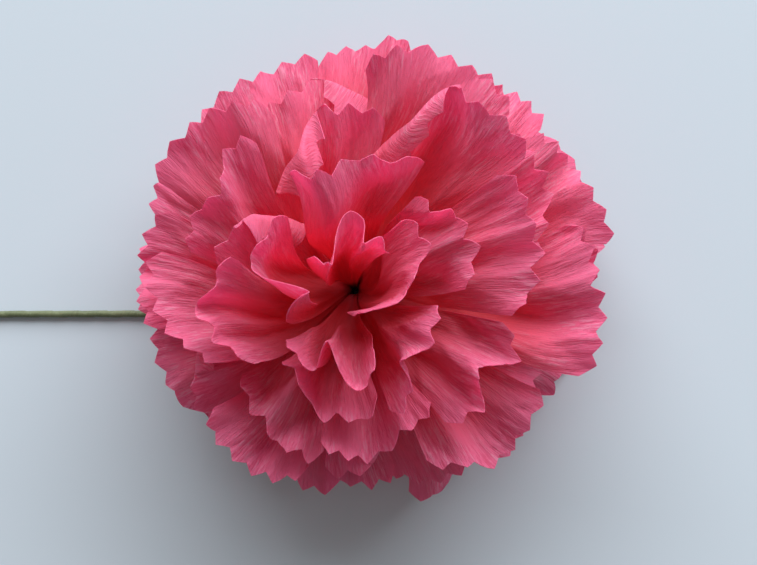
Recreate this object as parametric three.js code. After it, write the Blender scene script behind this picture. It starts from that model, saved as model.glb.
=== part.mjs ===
// A crepe paper flower of the carnation form. Fan-shaped petals with pinked edges are gathered
// ring by ring round a stem wire, bound with thread and wrapped with floral tape. The flower
// lies face up on a table, with its stem bent over and lying on the table too.
// Lengths are millimetres, angles are degrees and +Z is up.
import * as THREE from 'three';

const { clamp, degToRad, lerp, smoothstep } = THREE.MathUtils;

// Petals, from the heart ring outwards. A petal's length runs from the foot of its bend to its tip.
const PETALS_IN_RINGS = [4, 6, 8, 10, 12, 13];
const HEART_PETAL_LENGTH = 47;
const RIM_PETAL_LENGTH = 58.5;
const HEART_LENGTH_SPREAD = 0.13;
const RIM_LENGTH_SPREAD = 0.04;
const PAPER = 0.3;
const FACING_STEPS = 60;
const CLAW_LENGTH = 8;
const CLAW_GAP = 0.3;
const RING_TURN = 51.6;

// Each petal's share of its sector of the ring, at the claw and at the blade, and how far it
// stands off the middle of that sector.
const CLAW_SHARE = 0.8;
const HEART_BLADE_SHARE = 0.92;
const RIM_BLADE_SHARE = 1.1;
const SPREAD_START = 12;
const SPREAD_END = 32;
const HEART_DRIFT = 0.26;
const RIM_DRIFT = 0.15;
const TIP_SWAY = 0.1;

// The way a petal leans out from the stem: an arc at its foot, then a slow curl, which turns
// inwards at the heart and outwards at the rim.
const HEART_LEAN = 27;
const RIM_LEAN = 112;
const LEAN_POWER = 1.12;
const BEND_LENGTH = 15;
const CURL_RADIUS = 110;
const HEART_CURL = -0.7;
const CURL_WAVE = { lobes: 4, swing: 0.25, phase: 0.7, twist: 3 };
const LEAN_WAVES = [
  { lobes: 2, swing: 3.5, phase: 1.1, twist: 1.5 },
  { lobes: 3, swing: 4, phase: -0.4, twist: -3 },
  { lobes: 5, swing: 3, phase: 2.3, twist: 4 },
];
const RIM_WAVES = 0.3;

// Ruffles fill this share of the room between one ring and the next. The table presses the rim's
// petals up, so these are ruffled less towards it, and the heart's petals have room to crowd in.
const RUFFLE_ROOM = 0.84;
const RUFFLE_START = 4;
const RUFFLE_END = 30;
const CUP = 0.9;
const BROAD_RUFFLE = 0.5;
const BROAD_RUFFLES = [0.9, 1.8];
const FINE_RUFFLE = 0.13;
const FINE_RUFFLES = [2.2, 3.4];
const TIP_CURL = 1;
const TIP_REFLEX = 0.4;
const TIP_CURL_START = 0.75;
const EDGE_LIFT = 0.6;
const SIDE_START = 0.02;
const SIDE_END = 0.52;
const RIM_PRESS = 0.4;
const HEART_ROOM = 2.2;

// Some petals are folded along a crease near their middle.
const FOLDED_SHARE = 0.36;
const FOLD = 1.1;
const FOLD_WIDTH = 0.45;
const FOLD_RETURN = -0.6;
const FOLD_START = 0.15;
const FOLD_END = 0.65;
const FOLDED_RUFFLE = 0.5;
const CREASE_OFFSET = 0.3;

// Some petals between the heart ring and the layer FLAPPED_TO have a corner of a few teeth folded
// rolled back over the face that is turned to the heart. A row of points follows each side of the fold.
const FLAPPED_TO = 0.7;
const FLAPPED_SHARE = 0.25;
const FLAP_TEETH = 3;
const FLAP_DEPTH = 9;
const FLAP_RISE = 1.6;
const FLAP_ROLL = 0.6;
const FLAPPED_ROWS = [0.3, 0.6];
const FLAP_ROWS = [0.9, 0.97];

// The pinked outer edge.
const TOOTH_PITCH = 5;
const TOOTH_DEPTH = 2;
const CORNER_DROP = 0.03;
const CORNER_SPREAD = 0.03;
const EDGE_SLANT = 0.04;
const BLADE_ROWS = [0.25, 0.45, 0.65, 0.85];

// The petals stand out farther on one side of the stem, and lean less near there, so that the rim
// lies nearly level.
const BLOOM_OFFSET = 10;
const BLOOM_OFFSET_AZIMUTH = 54;
const RIM_LEVELLING = 9.5;
const RIM_LEVELLING_AZIMUTH = 34;

// The heart leans to one side, and the ball of petals is not quite round.
const HEART_LEAN_X = -2.5;
const HEART_LEAN_Y = -4.5;
const HEART_LEAN_START = 2;
const HEART_LEAN_END = 28;
const HEART_REACH = 60;
const DENT = 1.7;
const DENT_START = 10;
const DENT_END = 50;
const DENT_LENGTH = 56;

// Stem wire, binding thread and floral tape.
const WIRE_DIAMETER = 1.1;
const WIRE_TOP = -5;
const WIRE_STUB = 0.8;
const THREAD = 0.6;
const THREAD_TURNS = 3;
const BINDING_DROP = 4;
const BINDING_SEGMENTS = 12;
const FIT = 0.15;
const TAPE = 0.25;
const TAPE_TOP = -1;
const TAPER_LENGTH = 6;
const STEM_LENGTH = 205;
const STEM_BEND_RADIUS = 6;
const STEM_HEADING = 8;
const STEM_SWAY_LENGTH = 45;
const STEM_SIDES = 8;

// The petals over the stem are lifted by it.
const STEM_LIFT = 9;
const STEM_LIFT_AZIMUTH = 185;
const STEM_LIFT_NARROWNESS = 10;

const LAYER_STEP = 1 / (PETALS_IN_RINGS.length - 1);
const RING_PITCH = PAPER + CLAW_GAP;
const HEART_CLAW_RADIUS = WIRE_DIAMETER / 2 + CLAW_GAP + PAPER / 2;

// Each trait of a petal draws its own chance, and SCATTER picks the flower.
const SCATTER = 106.15;
const LENGTH = 1;
const CORNER = 2;
const SLANT = 3;
const DRIFT = 4;
const SWAY = 5;
const ORDER = 6;
const BROAD_TURNS = 7;
const BROAD_PHASE = 8;
const FINE_TURNS = 9;
const FINE_PHASE = 10;
const CUPPING = 11;
const CURLING = 12;
const FOLDING = 13;
const CREASE = 14;
const FOLD_SIDE = 15;
const FLAPPING = 81;
const FLAP_SIDE = 52;

const CREPE = { color: 0xd24a6f, roughness: 0.85, metalness: 0 };
const TAPE_GREEN = { color: 0x67704f, roughness: 0.7, metalness: 0 };
const GREEN_WIRE = { color: 0x2f3a26, roughness: 0.45, metalness: 0 };
const THREAD_GREEN = { color: 0x55603f, roughness: 0.9, metalness: 0 };

// A number from 0 to 1 that is always the same for one trait of one petal.
function chance(ring, petal, trait) {
  const x = Math.sin(ring * 127.1 + petal * 311.7 + trait * 74.7 + SCATTER) * 43758.5453;
  return x - Math.floor(x);
}

function either(ring, petal, trait) {
  return 2 * chance(ring, petal, trait) - 1;
}

// The end of an arc of a given length that sets out at an angle from +Z and turns outwards.
function arcEnd(start, turn, length) {
  const half = turn / 2;
  const chord = Math.abs(half) < 1e-6 ? length : (length * Math.sin(half)) / half;
  return { out: chord * Math.sin(start + half), up: chord * Math.cos(start + half) };
}

// A wave round the flower that twists from layer to layer.
function waveAt({ lobes, swing, phase, twist }, layer, azimuth) {
  return swing * Math.sin(lobes * azimuth + phase + twist * layer);
}

// The lean of the blades at one layer (0 is the heart ring, 1 the rim ring) and azimuth.
function leanAt(layer, azimuth) {
  let lean = lerp(HEART_LEAN, RIM_LEAN, Math.sign(layer) * Math.abs(layer) ** LEAN_POWER);
  lean -= RIM_LEVELLING * layer * Math.cos(azimuth - degToRad(RIM_LEVELLING_AZIMUTH));
  for (const wave of LEAN_WAVES) {
    lean += lerp(1, RIM_WAVES, layer) * waveAt(wave, layer, azimuth);
  }
  const facing = (1 + Math.cos(azimuth - degToRad(STEM_LIFT_AZIMUTH))) / 2;
  return degToRad(lean - STEM_LIFT * facing ** STEM_LIFT_NARROWNESS);
}

// Layers nest like trumpets, so surfaces on different layers never meet.
function layerPoint(layer, along, azimuth) {
  const lean = leanAt(layer, azimuth);
  const bent = clamp(along, 0, BEND_LENGTH);
  const foot = arcEnd(0, (lean * bent) / BEND_LENGTH, bent);
  const beyond = Math.max(along - BEND_LENGTH, 0);
  const curl = lerp(HEART_CURL, 1, layer) + waveAt(CURL_WAVE, layer, azimuth);
  const blade = arcEnd(lean, (curl * beyond) / CURL_RADIUS, beyond);
  return {
    radius: HEART_CLAW_RADIUS + (layer / LAYER_STEP) * RING_PITCH + foot.out + blade.out,
    height: Math.min(along, 0) + foot.up + blade.up,
  };
}

// Leans the heart over and dents the ball a little, more the farther from the binding.
function settle(point) {
  const { x, y, z } = point;
  const inward = Math.max(1 - Math.hypot(x, y) / HEART_REACH, 0);
  const heart = smoothstep(z, HEART_LEAN_START, HEART_LEAN_END) * inward;
  const dent = DENT * smoothstep(point.length(), DENT_START, DENT_END);
  const wave = (2 * Math.PI) / DENT_LENGTH;
  point.x += HEART_LEAN_X * heart + dent * Math.sin(wave * (y + 1.2 * z) + 0.4);
  point.y += HEART_LEAN_Y * heart + dent * Math.sin(wave * (1.1 * x - 0.9 * z) + 2);
  point.z += dent * Math.sin(wave * 0.9 * (x + y) + 1);
  return point;
}

// The traits of one petal that are worked out once.
function petalTraits(ring, index) {
  const count = PETALS_IN_RINGS[ring];
  const layer = ring * LAYER_STEP;
  const meanLength = lerp(HEART_PETAL_LENGTH, RIM_PETAL_LENGTH, layer);
  const spread = lerp(HEART_LENGTH_SPREAD, RIM_LENGTH_SPREAD, layer);
  const sector = (2 * Math.PI) / count;
  const azimuth = sector * (index + 0.5 * (ring % 2)) + degToRad(RING_TURN) * ring;
  const offset = BLOOM_OFFSET * layer * Math.cos(azimuth - degToRad(BLOOM_OFFSET_AZIMUTH));
  const length = meanLength * (1 + spread * either(ring, index, LENGTH)) + offset;
  const bladeShare = lerp(HEART_BLADE_SHARE, RIM_BLADE_SHARE, layer);
  const tipWidth = bladeShare * sector * layerPoint(layer, length, azimuth).radius;
  const folded = chance(ring, index, FOLDING) < FOLDED_SHARE;
  const foldSide = chance(ring, index, FOLD_SIDE) < 0.5 ? 1 : -1;
  const flappable = layer > 0 && layer < FLAPPED_TO;
  const flapped = flappable && chance(ring, index, FLAPPING) < FLAPPED_SHARE;
  const flapSide = chance(ring, index, FLAP_SIDE) < 0.5 ? 1 : -1;
  const before = (index + count - 1) % count;
  return {
    ring,
    index,
    layer,
    length,
    sector,
    azimuth,
    bladeShare,
    tipWidth,
    flap: flapped ? flapSide : 0,
    drift: lerp(HEART_DRIFT, RIM_DRIFT, layer) * either(ring, index, DRIFT),
    fold: folded ? FOLD * foldSide : 0,
    crease: CREASE_OFFSET * either(ring, index, CREASE),
    calm: folded ? FOLDED_RUFFLE : 1,
    press: layer < 1 ? 1 : RIM_PRESS,
    room: layer > 0 ? 1 : HEART_ROOM,
    teeth: Math.max(3, Math.round(tipWidth / TOOTH_PITCH)),
    cornerDrop: CORNER_DROP + CORNER_SPREAD * chance(ring, index, CORNER),
    slant: EDGE_SLANT * either(ring, index, SLANT),
    rightSide: chance(ring, index, ORDER) > 0.5 ? 1 : -1,
    leftSide: chance(ring, before, ORDER) > 0.5 ? -1 : 1,
  };
}

// The distance from the bend's foot to the line of the notches between the teeth.
function notchLine(petal, across) {
  return petal.length * (1 - petal.cornerDrop * across ** 4 - petal.slant * across) - TOOTH_DEPTH;
}

// The straight line that a flapped corner is folded on, from a notch down to the petal's side.
function flapLine(petal) {
  const from = 1 - (2 * FLAP_TEETH) / petal.teeth;
  const start = notchLine(petal, petal.flap * from);
  const end = notchLine(petal, petal.flap) - FLAP_DEPTH;
  const slope = (2 * (start - end)) / ((1 - from) * petal.tipWidth);
  const lineAt = (across) => lerp(start, end, (petal.flap * across - from) / (1 - from));
  return { slope, lineAt };
}

// Where a place of the flat petal comes to lie when its corner is folded over, and how far the flap
// stands off the petal there.
function foldedPlace(petal, along, across) {
  if (petal.flap === 0) {
    return { along, across, rise: 0 };
  }
  const { slope, lineAt } = flapLine(petal);
  const beyond = Math.max(along - lineAt(across), 0);
  const back = (2 * beyond) / (1 + slope * slope);
  return {
    along: along - back,
    across: across - (2 * petal.flap * slope * back) / petal.tipWidth,
    rise: FLAP_RISE * Math.sqrt(beyond / FLAP_DEPTH),
  };
}

// How far a petal is ruffled towards the rim (+1) or the heart (-1). Where two petals of a ring
// overlap, one keeps to each side.
function ruffle(petal, reach, across, rise) {
  const { ring, index } = petal;
  const right = smoothstep(across, SIDE_START, SIDE_END);
  const left = smoothstep(-across, SIDE_START, SIDE_END);
  const broadTurns = lerp(...BROAD_RUFFLES, chance(ring, index, BROAD_TURNS));
  const broad = Math.sin(Math.PI * (broadTurns * across + 2 * chance(ring, index, BROAD_PHASE)));
  const fineTurns = lerp(...FINE_RUFFLES, chance(ring, index, FINE_TURNS));
  const fine = Math.sin(Math.PI * (fineTurns * across + 2 * chance(ring, index, FINE_PHASE)));
  const cup = CUP * either(ring, index, CUPPING);
  const curl = TIP_REFLEX + TIP_CURL * either(ring, index, CURLING);
  const tip = curl * smoothstep(reach, TIP_CURL_START, 1);
  const waves = cup + tip + BROAD_RUFFLE * broad * reach + FINE_RUFFLE * fine * reach * reach;
  const ridge = Math.max(1 - Math.abs(across - petal.crease) / FOLD_WIDTH, FOLD_RETURN);
  const fold = petal.fold * ridge * smoothstep(reach, FOLD_START, FOLD_END);
  const middle = petal.calm * waves + fold;
  const edge = EDGE_LIFT + FINE_RUFFLE * fine * reach;
  const sides = (right * petal.rightSide + left * petal.leftSide) * edge;
  const ruffled = Math.tanh((1 - right - left) * middle + sides - rise);
  return (ruffled > 0 ? petal.press : petal.room) * ruffled;
}

// A point of a petal's middle surface. Across runs from -1 to 1 over its flat width.
function petalPoint(petal, flatAlong, flatAcross) {
  const { ring, index, layer, length, sector, azimuth, bladeShare } = petal;
  const { along, across, rise } = foldedPlace(petal, flatAlong, flatAcross);
  const reach = clamp(along / length, 0, 1.05);
  const spread = smoothstep(along, SPREAD_START, SPREAD_END);
  const halfAngle = (lerp(CLAW_SHARE, bladeShare, spread) * sector) / 2;
  const sway = TIP_SWAY * either(ring, index, SWAY) * reach * reach;
  const drift = ((petal.drift + sway) * sector) / 2;
  const room = (RUFFLE_ROOM * LAYER_STEP) / 2;
  const swell = room * smoothstep(along, RUFFLE_START, RUFFLE_END);
  const ruffled = swell * ruffle(petal, reach, across, rise);
  const angle = azimuth + halfAngle * across + spread * drift;
  const { radius, height } = layerPoint(layer + ruffled, along, angle);
  return settle(new THREE.Vector3(radius * Math.cos(angle), radius * Math.sin(angle), height));
}

// Rows of (along, across) places from the claw's end to the zigzag tip.
function petalRows(petal) {
  const { teeth } = petal;
  const acrossOf = (column, columns) => (2 * column) / columns - 1;
  const row = (columns, alongOf) =>
    Array.from({ length: columns + 1 }, (_, column) => {
      const across = acrossOf(column, columns);
      return { across, along: alongOf(across, column) };
    });
  const notch = (across) => notchLine(petal, across);
  const blade = (share) => (across) => lerp(BEND_LENGTH, notch(across), share);
  const besideFold = (share, roll) => (across) =>
    Math.min(blade(share)(across), flapLine(petal).lineAt(across) + roll);
  const bladeShares = petal.flap === 0 ? BLADE_ROWS : FLAPPED_ROWS;
  const bladeRows = bladeShares.map((share) => row(teeth, blade(share)));
  if (petal.flap !== 0) {
    bladeRows.push(row(teeth, besideFold(FLAP_ROWS[0], -FLAP_ROLL)));
    bladeRows.push(row(teeth, besideFold(FLAP_ROWS[1], FLAP_ROLL)));
  }
  return [
    row(2, () => -CLAW_LENGTH),
    row(2, () => 0),
    row(2, () => BEND_LENGTH / 2),
    row(4, () => BEND_LENGTH),
    ...bladeRows,
    row(2 * teeth, (across, column) => notch(across) + (column % 2) * TOOTH_DEPTH),
  ];
}

// Triangles between two rows that may differ in their number of points. The lead is how many points
// of the upper row the lower row runs ahead.
function stitch(lower, upper, lead) {
  const lowerSteps = lower.length - 1;
  const upperSteps = upper.length - 1;
  const triangles = [];
  let i = 0;
  let j = 0;
  while (i < lowerSteps || j < upperSteps) {
    const lowerNext = (i + 1) * upperSteps;
    const upperNext = (j + 1 + lead) * lowerSteps;
    if (j === upperSteps || (i < lowerSteps && lowerNext <= upperNext)) {
      triangles.push([lower[i], lower[i + 1], upper[j]]);
      i += 1;
    } else {
      triangles.push([lower[i], upper[j + 1], upper[j]]);
      j += 1;
    }
  }
  return triangles;
}

// The direction at each point that faces all the triangles round it best. It is moved, in ever
// smaller steps, towards whichever triangle faces away most.
function facingNormals(points, triangles) {
  const around = points.map(() => []);
  for (const triangle of triangles) {
    const [a, b, c] = triangle.map((i) => points[i]);
    const normal = THREE.Triangle.getNormal(a, b, c, new THREE.Vector3());
    triangle.forEach((i) => around[i].push(normal));
  }
  return around.map((normals) => {
    const facing = new THREE.Vector3();
    for (let step = 1; step <= FACING_STEPS; step += 1) {
      const turned = normals.reduce((a, b) => (b.dot(facing) < a.dot(facing) ? b : a));
      facing.lerp(turned, 1 / step);
    }
    return facing.normalize();
  });
}

function closedGeometry(points, triangles) {
  const geometry = new THREE.BufferGeometry().setFromPoints(points);
  geometry.setIndex(triangles.flat());
  geometry.computeVertexNormals();
  return geometry;
}

// A sheet of the paper's thickness: a front, a back and a rim round the cut edge.
function petalGeometry(petal) {
  const rows = petalRows(petal);
  const middle = rows.flat().map(({ along, across }) => petalPoint(petal, along, across));
  const count = middle.length;
  let next = 0;
  const indices = rows.map((row) => row.map(() => next++));
  const last = indices.length - 1;
  const front = indices.slice(1).flatMap((upper, i) =>
    stitch(indices[i], upper, i + 1 === last ? petal.flap : 0),
  );
  const back = front.map(([a, b, c]) => [c + count, b + count, a + count]);
  const normals = facingNormals(middle, front);
  const face = (side) =>
    middle.map((point, i) => point.clone().addScaledVector(normals[i], (side * PAPER) / 2));
  const right = indices.slice(1, -1).map((row) => row[row.length - 1]);
  const left = indices.slice(1, -1).map((row) => row[0]);
  const loop = [...indices[0], ...right, ...indices.at(-1).toReversed(), ...left.toReversed()];
  const rim = loop.flatMap((a, i) => {
    const b = loop[(i + 1) % loop.length];
    return [
      [b, a, a + count],
      [b, a + count, b + count],
    ];
  });
  return closedGeometry([...face(1), ...face(-1)], [...front, ...back, ...rim]);
}

// Turns of thread lying against each other round the claws, as one ring.
function bindingGeometry(bore) {
  const height = THREAD * THREAD_TURNS;
  const profile = [];
  for (let turn = 0; turn < THREAD_TURNS; turn += 1) {
    const bottom = -height / 2 + turn * THREAD;
    profile.push(new THREE.Vector2(bore + THREAD / 2, bottom));
    profile.push(new THREE.Vector2(bore + THREAD, bottom + THREAD / 2));
  }
  profile.push(new THREE.Vector2(bore + THREAD / 2, height / 2));
  profile.push(new THREE.Vector2(bore, height / 2));
  profile.push(new THREE.Vector2(bore, -height / 2));
  profile.push(profile[0].clone());
  return new THREE.LatheGeometry(profile, BINDING_SEGMENTS).rotateX(Math.PI / 2);
}

// The stem's centre line: straight down, a bend to the table, a sway in plan, then straight on.
class StemLine {
  constructor(top, tableLine) {
    this.top = top;
    this.tableLine = tableLine;
    this.drop = top - (tableLine + STEM_BEND_RADIUS);
    this.bendLength = (STEM_BEND_RADIUS * Math.PI) / 2;
    this.swayStart = this.drop + this.bendLength;
    this.swayEnd = this.swayStart + STEM_SWAY_LENGTH;
  }

  pointAt(distance) {
    const heading = degToRad(STEM_HEADING);
    const bend = clamp((distance - this.drop) / STEM_BEND_RADIUS, 0, Math.PI / 2);
    const swayed = clamp(distance - this.swayStart, 0, STEM_SWAY_LENGTH);
    const sway = arcEnd(heading, (-heading * swayed) / STEM_SWAY_LENGTH, swayed);
    const reach = STEM_BEND_RADIUS * (1 - Math.cos(bend));
    const straight = Math.max(distance - this.swayEnd, 0);
    return new THREE.Vector3(
      -reach * Math.cos(heading) - sway.up - straight,
      -reach * Math.sin(heading) - sway.out,
      this.top - Math.min(distance, this.drop) - STEM_BEND_RADIUS * Math.sin(bend),
    );
  }

  // Places along the line that follow its bends, between two distances.
  places(from, to, extra) {
    const bends = [0, 0.2, 0.4, 0.6, 0.8, 1].map((share) => this.drop + share * this.bendLength);
    const sways = [0.25, 0.5, 0.75, 1].map((share) => this.swayStart + share * STEM_SWAY_LENGTH);
    const inside = [...bends, ...sways, ...extra].filter((place) => place > from && place < to);
    return [from, ...inside.sort((a, b) => a - b), to];
  }
}

// A solid or a tube of round sections along the stem's line.
function sweptGeometry(line, places, outerAt, boreAt) {
  const points = [];
  const rings = [];
  let side = new THREE.Vector3(1, 0, 0);
  let heading = new THREE.Vector3(0, 0, -1);
  const ringOf = (centre, radius) => {
    const ring = [];
    for (let i = 0; i < STEM_SIDES; i += 1) {
      const angle = (2 * Math.PI * i) / STEM_SIDES;
      const spoke = side.clone().applyAxisAngle(heading, angle);
      ring.push(points.length);
      points.push(centre.clone().addScaledVector(spoke, radius));
    }
    return ring;
  };
  const outer = [];
  const bore = [];
  for (const place of places) {
    const ahead = line.pointAt(place + 0.01).sub(line.pointAt(place - 0.01)).normalize();
    side = side.clone().applyQuaternion(new THREE.Quaternion().setFromUnitVectors(heading, ahead));
    heading = ahead;
    const centre = line.pointAt(place);
    outer.push(ringOf(centre, outerAt(place)));
    if (boreAt) {
      bore.push(ringOf(centre, boreAt(place)));
    }
  }
  rings.push(...outer, ...bore.toReversed());
  const triangles = [];
  const join = (a, b) => {
    for (let i = 0; i < STEM_SIDES; i += 1) {
      const next = (i + 1) % STEM_SIDES;
      triangles.push([a[i], a[next], b[i]], [a[next], b[next], b[i]]);
    }
  };
  rings.slice(1).forEach((ring, i) => join(rings[i], ring));
  if (boreAt) {
    join(rings.at(-1), rings[0]);
  } else {
    const [first, last] = [rings[0], rings.at(-1)];
    for (let i = 1; i < STEM_SIDES - 1; i += 1) {
      triangles.push([first[0], first[i + 1], first[i]], [last[0], last[i], last[i + 1]]);
    }
  }
  return closedGeometry(points, triangles);
}

function namedMesh(name, geometry, finish) {
  const mesh = new THREE.Mesh(geometry, new THREE.MeshStandardMaterial(finish));
  mesh.name = name;
  return mesh;
}

function petalMeshes() {
  const meshes = [];
  PETALS_IN_RINGS.forEach((count, ring) => {
    for (let index = 0; index < count; index += 1) {
      const name = `petal_${ring + 1}_${String(index + 1).padStart(2, '0')}`;
      meshes.push(namedMesh(name, petalGeometry(petalTraits(ring, index)), CREPE));
    }
  });
  return meshes;
}

function flower() {
  const group = new THREE.Group();
  group.add(...petalMeshes());
  const table = new THREE.Box3().setFromObject(group).min.z;

  const bundleRadius = HEART_CLAW_RADIUS + RING_PITCH / LAYER_STEP + PAPER / 2;
  const threadBore = (bundleRadius + FIT) / Math.cos(Math.PI / BINDING_SEGMENTS);
  const binding = namedMesh('binding_thread', bindingGeometry(threadBore), THREAD_GREEN);
  binding.position.z = -BINDING_DROP;
  group.add(binding);

  const calyxBore = (threadBore + THREAD + FIT) / Math.cos(Math.PI / STEM_SIDES);
  const wireRadius = WIRE_DIAMETER / 2;
  const sleeveBore = wireRadius + FIT;
  const line = new StemLine(TAPE_TOP, table + sleeveBore + TAPE);
  const taperStart = TAPE_TOP + CLAW_LENGTH + FIT;
  const taperEnd = taperStart + TAPER_LENGTH;
  const boreAt = (place) => lerp(calyxBore, sleeveBore, smoothstep(place, taperStart, taperEnd));
  const taper = [0, 0.25, 0.5, 0.75, 1].map((share) => lerp(taperStart, taperEnd, share));
  const tapePlaces = line.places(0, STEM_LENGTH, taper);
  const tape = sweptGeometry(line, tapePlaces, (place) => boreAt(place) + TAPE, boreAt);
  group.add(namedMesh('floral_tape', tape, TAPE_GREEN));

  const wirePlaces = line.places(TAPE_TOP - WIRE_TOP, STEM_LENGTH + WIRE_STUB, taper);
  const wire = sweptGeometry(line, wirePlaces, () => wireRadius);
  group.add(namedMesh('stem_wire', wire, GREEN_WIRE));

  const box = new THREE.Box3().setFromObject(group);
  const centre = box.getCenter(new THREE.Vector3());
  group.position.set(-centre.x, -centre.y, -box.min.z);
  return group;
}

export default flower();
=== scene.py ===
"""A crepe paper carnation lying face up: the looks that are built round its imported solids."""
import math

import bpy
import numpy as np
from mathutils import Matrix, Vector


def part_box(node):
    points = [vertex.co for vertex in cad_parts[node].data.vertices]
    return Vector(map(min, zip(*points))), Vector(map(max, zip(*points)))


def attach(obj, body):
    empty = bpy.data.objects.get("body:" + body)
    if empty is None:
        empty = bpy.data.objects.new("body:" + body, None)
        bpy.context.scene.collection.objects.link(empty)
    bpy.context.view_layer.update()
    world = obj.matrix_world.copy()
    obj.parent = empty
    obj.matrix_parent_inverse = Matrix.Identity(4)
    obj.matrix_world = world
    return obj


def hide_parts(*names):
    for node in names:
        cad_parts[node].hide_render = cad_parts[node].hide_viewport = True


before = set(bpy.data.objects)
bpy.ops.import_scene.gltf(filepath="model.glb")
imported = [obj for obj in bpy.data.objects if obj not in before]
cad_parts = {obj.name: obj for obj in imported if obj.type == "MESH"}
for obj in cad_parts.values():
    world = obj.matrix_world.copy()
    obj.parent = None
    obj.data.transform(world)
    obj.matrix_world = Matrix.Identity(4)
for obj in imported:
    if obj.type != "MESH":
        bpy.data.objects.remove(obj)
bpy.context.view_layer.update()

bl_info = {
    "name": "Crepe Paper Carnation",
    "version": (1, 0, 0),
    "blender": (4, 5, 0),
    "location": "3D View > Sidebar > Paper Flower",
    "description": "Builds the petals, stem and stage of a crepe paper carnation",
    "category": "Object",
}

MM = 0.001

# Petals, from the heart ring outwards. Lengths are millimetres and angles are degrees.
PETALS_IN_RINGS = (4, 6, 8, 10, 12, 13)
LAYER_STEP = 1 / (len(PETALS_IN_RINGS) - 1)
HEART_PETAL_LENGTH, RIM_PETAL_LENGTH = 47, 58.5
HEART_LENGTH_SPREAD, RIM_LENGTH_SPREAD = 0.13, 0.04
CLAW_LENGTH = 8
RING_TURN, RING_STAGGER = 51.6, 0.5
SOLID_PAPER = 0.3
CLAW_GAP = 0.3
RING_PITCH = SOLID_PAPER + CLAW_GAP

# Each petal's share of its sector of the ring, and how far it stands off the sector's middle.
CLAW_SHARE = 0.8
HEART_BLADE_SHARE, RIM_BLADE_SHARE = 0.92, 1.1
SPREAD_START, SPREAD_END = 12, 32
HEART_DRIFT, RIM_DRIFT = 0.26, 0.15
TIP_SWAY = 0.1

# The lean of a petal: an arc at its foot, then a slow curl, inwards at the heart.
HEART_LEAN, RIM_LEAN = 27, 112
LEAN_POWER = 1.12
BEND_LENGTH = 15
CURL_RADIUS = 110
HEART_CURL = -0.7
CURL_WAVE = (4, 0.25, 0.7, 3)
LEAN_WAVES = ((2, 3.5, 1.1, 1.5), (3, 4, -0.4, -3), (5, 3, 2.3, 4))
RIM_WAVES = 0.3
RIM_LEVELLING, RIM_LEVELLING_AZIMUTH = 9.5, 34
STEM_LIFT, STEM_LIFT_AZIMUTH, STEM_LIFT_NARROWNESS = 9, 185, 10
BLOOM_OFFSET, BLOOM_OFFSET_AZIMUTH = 10, 54

# Ruffles, folds and the pinked edge.
RUFFLE_ROOM = 0.84
RUFFLE_START, RUFFLE_END = 4, 30
CUP = 0.9
BROAD_RUFFLE, BROAD_RUFFLES = 0.5, (0.9, 1.8)
FINE_RUFFLE, FINE_RUFFLES = 0.13, (2.2, 3.4)
TIP_CURL, TIP_REFLEX, TIP_CURL_START = 1, 0.4, 0.75
EDGE_LIFT = 0.6
SIDE_START, SIDE_END = 0.02, 0.52
RIM_PRESS = 0.4
HEART_ROOM = 2.2
FOLDED_SHARE = 0.36
FOLD, FOLD_WIDTH, FOLD_RETURN = 1.1, 0.45, -0.6
FOLD_START, FOLD_END = 0.15, 0.65
FOLDED_RUFFLE = 0.5
CREASE_OFFSET = 0.3
FLAPPED_TO, FLAPPED_SHARE, FLAP_TEETH = 0.7, 0.25, 3
FLAP_DEPTH, FLAP_RISE = 9, 1.6
TOOTH_PITCH, TOOTH_DEPTH, FEWEST_TEETH = 5, 2, 3
CORNER_DROP, CORNER_SPREAD, CORNER_POWER = 0.03, 0.03, 4
EDGE_SLANT = 0.04
REACH_END = 1.05

# The heart leans to one side, and the ball of petals is not quite round. The wave of dents on each
# axis has its own shares of x, y and z, and a phase.
HEART_LEAN_X, HEART_LEAN_Y = -2.5, -4.5
HEART_LEAN_START, HEART_LEAN_END = 2, 28
HEART_REACH = 60
DENT, DENT_START, DENT_END, DENT_LENGTH = 1.7, 10, 50, 56
DENT_WAVES = ((0, 1, 1.2, 0.4), (1.1, 0, -0.9, 2), (0.9, 0.9, 0, 1))

# Stem wire, binding thread and floral tape.
WIRE_RADIUS = 0.55
THREAD = 0.6
BINDING_DROP = 4
BINDING_SEGMENTS = 12
FIT = 0.15
TAPE = 0.25
TAPE_TOP = -1
TAPER_LENGTH = 6
STEM_LENGTH = 205
STEM_BEND_RADIUS = 6
STEM_HEADING = 8
STEM_SWAY_LENGTH = 45
HEART_CLAW_RADIUS = WIRE_RADIUS + CLAW_GAP + SOLID_PAPER / 2
BUNDLE_RADIUS = HEART_CLAW_RADIUS + RING_PITCH / LAYER_STEP + SOLID_PAPER / 2

# Each trait of a petal draws its own chance, and SCATTER picks the flower.
SCATTER = 106.15
RING_SCATTER, PETAL_SCATTER, TRAIT_SCATTER, SCATTER_SWING = 127.1, 311.7, 74.7, 43758.5453
EVEN_CHANCE = 0.5
(LENGTH, CORNER, SLANT, DRIFT, SWAY, ORDER, BROAD_TURNS, BROAD_PHASE, FINE_TURNS, FINE_PHASE,
 CUPPING, CURLING, FOLDING, CREASE, FOLD_SIDE) = range(1, 16)
FLAPPING, FLAP_SIDE = 81, 52

# A petal's grid of points: its rows crowd a little towards the tip's rows, which start at a share of
# the blade.
ROWS, TIP_ROWS = 42, 12
ROW_CROWDING = 0.85
TIP_ROW, FLAP_ROW = 0.84, 0.995
COLUMNS_IN_HALF_TOOTH = 6
LAYER_PROBE = 0.01
SHARP_ANGLE = 55
SHORTEST = 1e-9

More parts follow.
